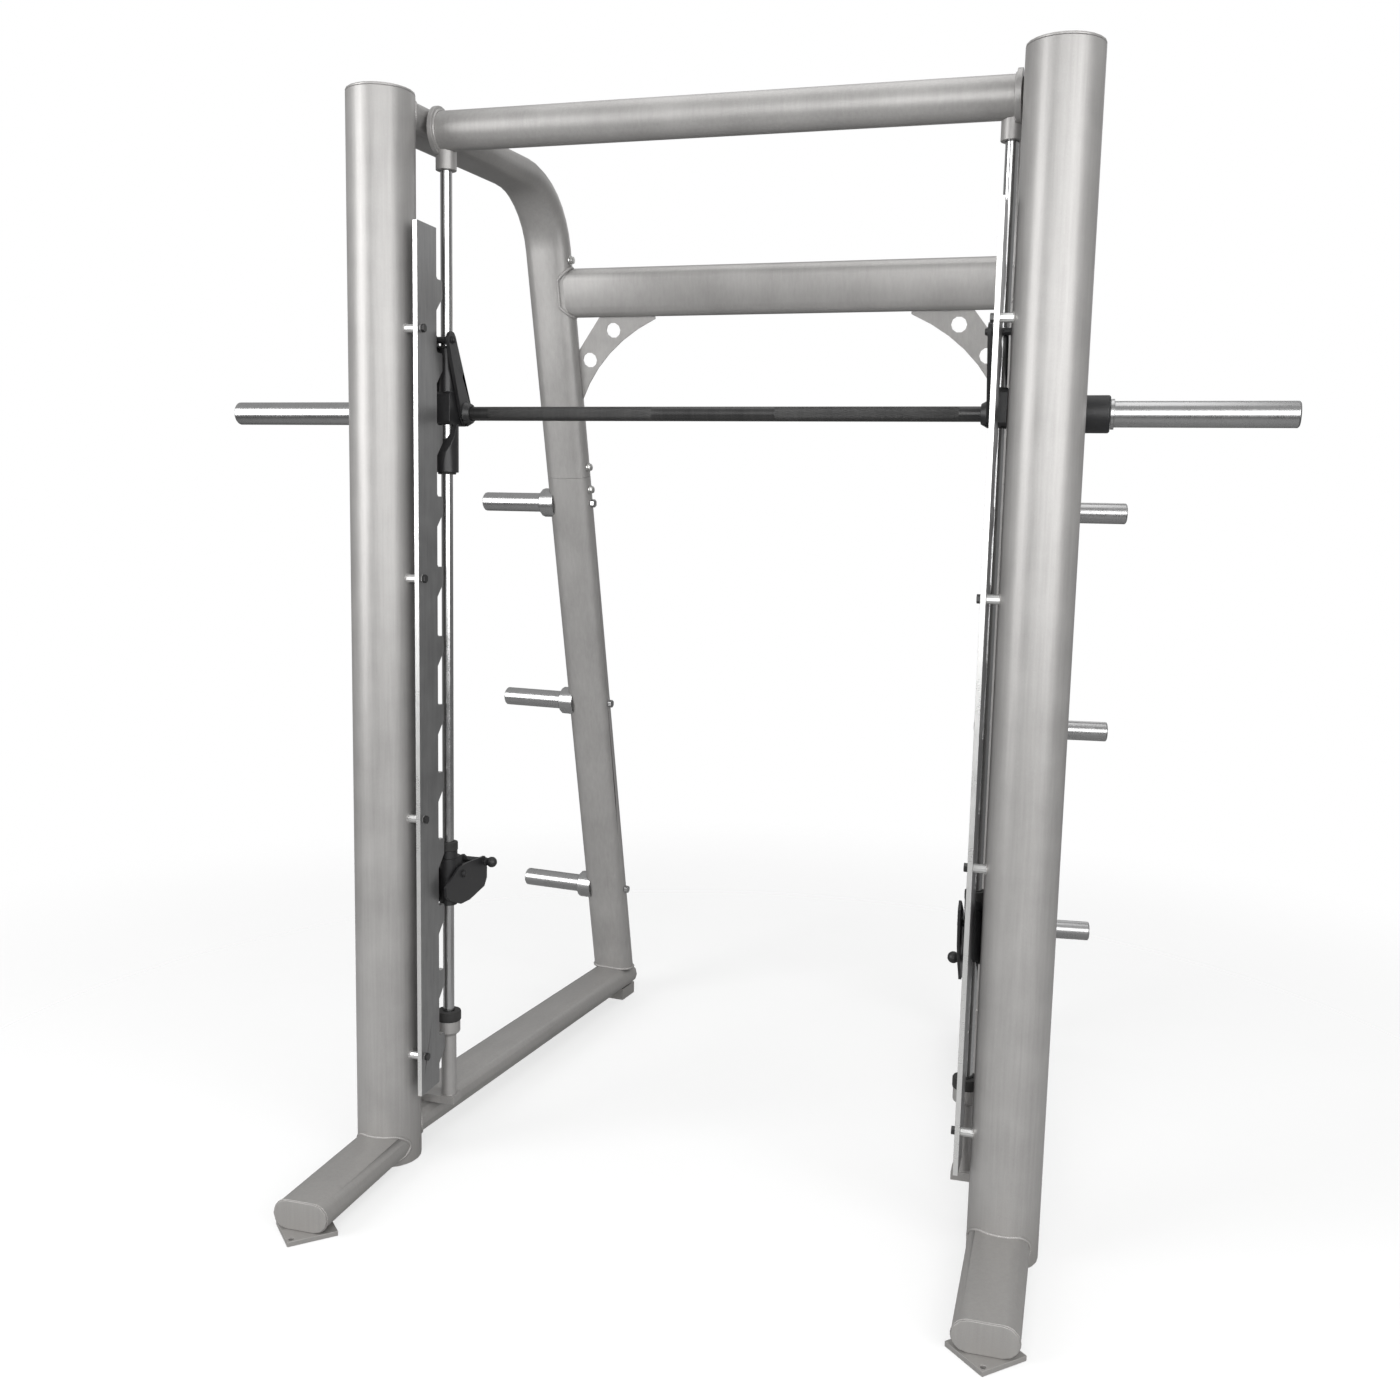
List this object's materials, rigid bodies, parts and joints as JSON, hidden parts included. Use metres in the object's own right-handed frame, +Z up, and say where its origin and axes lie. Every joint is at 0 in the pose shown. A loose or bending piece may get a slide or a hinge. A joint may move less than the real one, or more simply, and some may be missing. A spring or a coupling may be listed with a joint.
{
  "type": "smith machine",
  "caption": "Free-standing guided barbell rack: round front uprights, flat-oval rear frame, toothed lock plates, chrome guide rods, hooking bar, safety stops and plate horns.",
  "frame": {"origin": "on the floor, at the centre of the machine's bounding box", "axes": "+X along the bar towards the right upright as the lifter walks in, -Y towards the front legs, +Z up"},
  "size_m": [2.25, 1.6175, 2.28],
  "materials": {
    "silver_paint": "satin silver-grey powder coat, darker where it turns away from the light",
    "bright_steel": "polished and lightly brushed",
    "plate_steel": "zinc-grey plate with bright cut edges",
    "black_paint": "satin black",
    "black_rubber": "matt"
  },
  "bodies": {
    "frame": {"upright_right": "silver_paint", "upright_left": "silver_paint", "upright_cap_right": "silver_paint", "upright_cap_left": "silver_paint", "leg_right": "silver_paint", "leg_left": "silver_paint", "leg_cap_right": "silver_paint", "leg_cap_left": "silver_paint", "front_foot_right": "silver_paint", "front_foot_left": "silver_paint", "base_tube_right": "silver_paint", "base_tube_left": "silver_paint", "rear_foot_right": "silver_paint", "rear_foot_left": "silver_paint", "lower_post_right": "silver_paint", "lower_post_left": "silver_paint", "upper_post_right": "silver_paint", "upper_post_left": "silver_paint", "top_crossbar": "silver_paint", "rear_crossbar": "silver_paint", "gusset_right": "silver_paint", "gusset_left": "silver_paint", "guide_rod_right": "bright_steel", "guide_rod_left": "bright_steel", "rod_top_socket_right": "silver_paint", "rod_top_socket_left": "silver_paint", "rod_foot_socket_right": "silver_paint", "rod_foot_socket_left": "silver_paint", "rod_bumper_right": "black_rubber", "rod_bumper_left": "black_rubber", "lock_plate_right": "plate_steel", "lock_plate_left": "plate_steel", "horn_1_right": "bright_steel", "horn_1_left": "bright_steel", "horn_2_right": "bright_steel", "horn_2_left": "bright_steel", "horn_3_right": "bright_steel", "horn_3_left": "bright_steel"},
    "carriage": {"carriage_right": "black_paint", "carriage_left": "black_paint"},
    "bar": {"bar": "black_paint", "sleeve_right": "bright_steel", "sleeve_left": "bright_steel", "collar_right": "black_paint", "collar_left": "black_paint", "yoke_right": "black_paint", "yoke_left": "black_paint"},
    "stop_right": {"stop_right": "black_paint", "stop_bumper_right": "black_rubber"},
    "stop_left": {"stop_left": "black_paint", "stop_bumper_left": "black_rubber"},
    "lever_right": {"stop_lever_right": "black_paint"},
    "lever_left": {"stop_lever_left": "black_paint"}
  },
  "joints": [
    {"name": "bar_lift", "type": "slide", "parent": "frame", "child": "carriage", "axis": [0, 0, 1], "range_m": [-0.747, 0.255]},
    {"name": "bar_twist", "type": "hinge", "parent": "carriage", "child": "bar", "pos_m": [0, -0.233, 1.648], "axis": [1, 0, 0], "range_deg": [0, 12]},
    {"name": "stop_slide_right", "type": "slide", "parent": "frame", "child": "stop_right", "axis": [0, 0, 1], "range_m": [-0.149, 0]},
    {"name": "stop_slide_left", "type": "slide", "parent": "frame", "child": "stop_left", "axis": [0, 0, 1], "range_m": [-0.149, 0]},
    {"name": "stop_lever_turn_right", "type": "hinge", "parent": "stop_right", "child": "lever_right", "pos_m": [0.582, -0.262, 0.628], "axis": [1, 0, 0], "range_deg": [0, 55]},
    {"name": "stop_lever_turn_left", "type": "hinge", "parent": "stop_left", "child": "lever_left", "pos_m": [-0.582, -0.262, 0.628], "axis": [1, 0, 0], "range_deg": [-55, 0]}
  ]
}
